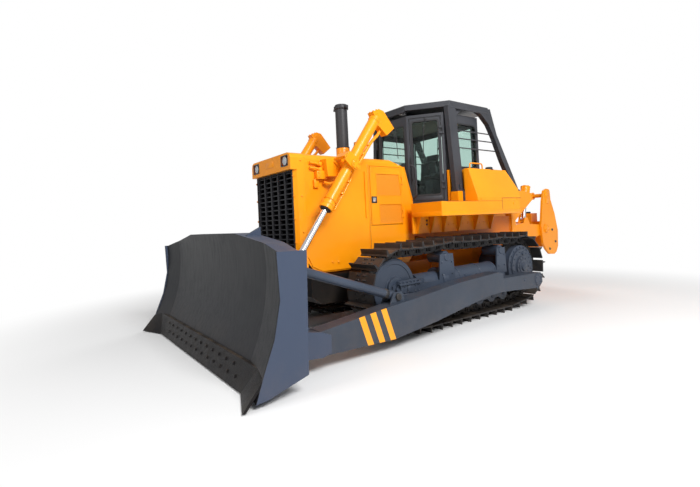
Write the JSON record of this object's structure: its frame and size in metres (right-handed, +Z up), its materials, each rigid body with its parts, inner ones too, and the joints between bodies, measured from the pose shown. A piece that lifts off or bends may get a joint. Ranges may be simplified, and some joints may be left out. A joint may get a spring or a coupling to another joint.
{
  "type": "crawler bulldozer",
  "caption": "Crawler dozer with semi-U blade on push arms, engine hood, hexagonal cab under a roll-over canopy and a single-shank rear ripper.",
  "frame": {"origin": "on the ground under the middle of the overall length and width", "axes": "+X forward towards the blade, +Y to the machine's left, +Z up"},
  "size_m": [8.646, 4.124, 3.69],
  "materials": {
    "paint_yellow": "glossy machine enamel",
    "paint_grey": "satin blue-grey enamel",
    "blade_paint": "satin dark grey enamel",
    "edge_steel": "dark hardened steel",
    "track_steel": "dark grey-brown rolled steel",
    "frame_paint": "orange enamel",
    "engine_paint": "dark engine enamel",
    "grille_black": "matt black",
    "stack_steel": "heat-proof charcoal paint",
    "cab_charcoal": "satin charcoal enamel",
    "glass": "tinted safety glass",
    "seat_fabric": "woven seat cloth",
    "console_plastic": "grained plastic",
    "chrome_rod": "hard chrome"
  },
  "bodies": {
    "tractor": {"main_frame": "frame_paint", "engine": "engine_paint", "radiator_guard": "paint_yellow", "grille": "grille_black", "hood": "paint_yellow", "exhaust_stack": "stack_steel", "precleaner": "paint_yellow", "cab_shell": "cab_charcoal", "cab_glass": "glass", "seat": "seat_fabric", "console": "console_plastic", "rops_canopy": "cab_charcoal", "fender_left": "paint_yellow", "fender_right": "paint_yellow", "side_tank_left": "paint_yellow", "side_tank_right": "paint_yellow", "fuel_tank": "paint_yellow", "cross_shafts": "paint_grey", "ripper_bracket": "paint_yellow", "track_left": "track_steel", "track_right": "track_steel", "track_frame_left": "paint_grey", "track_frame_right": "paint_grey", "track_rollers": "paint_grey", "carrier_rollers": "paint_grey", "idlers": "paint_grey", "sprockets": "track_steel", "final_drive_left": "paint_grey", "final_drive_right": "paint_grey", "lift_yokes": "paint_yellow"},
    "blade_frame": {"push_arm_left": "paint_grey", "push_arm_right": "paint_grey", "blade": "blade_paint", "cutting_edge": "edge_steel", "tilt_braces": "paint_grey"},
    "lift_barrel_pair": {"lift_barrels": "paint_yellow"},
    "lift_rod_pair": {"lift_rods": "chrome_rod"},
    "engine_door_left_body": {"engine_door_left": "paint_yellow"},
    "engine_door_right_body": {"engine_door_right": "paint_yellow"},
    "cab_door_left_body": {"cab_door_left": "cab_charcoal", "door_glass_left": "glass"},
    "cab_door_right_body": {"cab_door_right": "cab_charcoal", "door_glass_right": "glass"},
    "ripper_arm_body": {"ripper_arm": "paint_yellow"},
    "ripper_carrier_body": {"ripper_carrier": "paint_yellow", "ripper_shank": "edge_steel"},
    "ripper_link_pair": {"ripper_links": "paint_yellow"},
    "ripper_barrel_pair": {"ripper_lift_barrels": "paint_yellow"},
    "ripper_rod_pair": {"ripper_lift_rods": "chrome_rod"}
  },
  "joints": [
    {"name": "blade_lift", "type": "hinge", "parent": "tractor", "child": "blade_frame", "pos_m": [-1.4, 0, 0.525], "axis": [0, -1, 0], "range_deg": [-5, 13]},
    {"name": "lift_barrel_swing", "type": "hinge", "parent": "tractor", "child": "lift_barrel_pair", "pos_m": [2.048, 0, 2.48], "axis": [0, -1, 0], "range_deg": [-7.18, 18.59]},
    {"name": "lift_rod_slide", "type": "slide", "parent": "lift_barrel_pair", "child": "lift_rod_pair", "axis": [0.5893, 0, -0.8079], "range_m": [-0.8902, 0.343]},
    {"name": "ripper_lift", "type": "hinge", "parent": "tractor", "child": "ripper_arm_body", "pos_m": [-2.5, 0, 1.35], "axis": [0, 1, 0], "range_deg": [-17.5, 3]},
    {"name": "ripper_carrier_level", "type": "hinge", "parent": "ripper_arm_body", "child": "ripper_carrier_body", "pos_m": [-3.8, 0, 1.34], "axis": [0, 1, 0], "range_deg": [-3.1, 17.6]},
    {"name": "ripper_link_swing", "type": "hinge", "parent": "tractor", "child": "ripper_link_pair", "pos_m": [-2.6, 0, 2.11], "axis": [0, 1, 0], "range_deg": [-17.6, 3.1]},
    {"name": "ripper_barrel_swing", "type": "hinge", "parent": "tractor", "child": "ripper_barrel_pair", "pos_m": [-3.215, 0, 2.06], "axis": [0, -1, 0], "range_deg": [-6.3, 1.12]},
    {"name": "ripper_rod_slide", "type": "slide", "parent": "ripper_barrel_pair", "child": "ripper_rod_pair", "axis": [0.2112, 0, -0.9774], "range_m": [-0.0314, 0.1785]},
    {"name": "engine_door_left_hinge", "type": "hinge", "parent": "tractor", "child": "engine_door_left_body", "pos_m": [0.73, 0.574, 2.07], "axis": [0, 0, 1], "range_deg": [0, 85]},
    {"name": "engine_door_right_hinge", "type": "hinge", "parent": "tractor", "child": "engine_door_right_body", "pos_m": [0.73, -0.574, 2.07], "axis": [0, 0, -1], "range_deg": [0, 85]},
    {"name": "cab_door_left_hinge", "type": "hinge", "parent": "tractor", "child": "cab_door_left_body", "pos_m": [-0.03328, 0.85237, 2.7], "axis": [0, 0, 1], "range_deg": [0, 80]},
    {"name": "cab_door_right_hinge", "type": "hinge", "parent": "tractor", "child": "cab_door_right_body", "pos_m": [-0.03328, -0.85237, 2.7], "axis": [0, 0, -1], "range_deg": [0, 80]}
  ],
  "couplings": [
    {"joint": "lift_barrel_swing", "follows": "blade_lift", "ratio": 1.426},
    {"joint": "lift_rod_slide", "follows": "blade_lift", "m_per_rad": -3.911},
    {"joint": "ripper_carrier_level", "follows": "ripper_lift", "ratio": -1},
    {"joint": "ripper_link_swing", "follows": "ripper_lift", "ratio": 1},
    {"joint": "ripper_barrel_swing", "follows": "ripper_lift", "ratio": 0.357},
    {"joint": "ripper_rod_slide", "follows": "ripper_lift", "m_per_rad": -0.58}
  ]
}
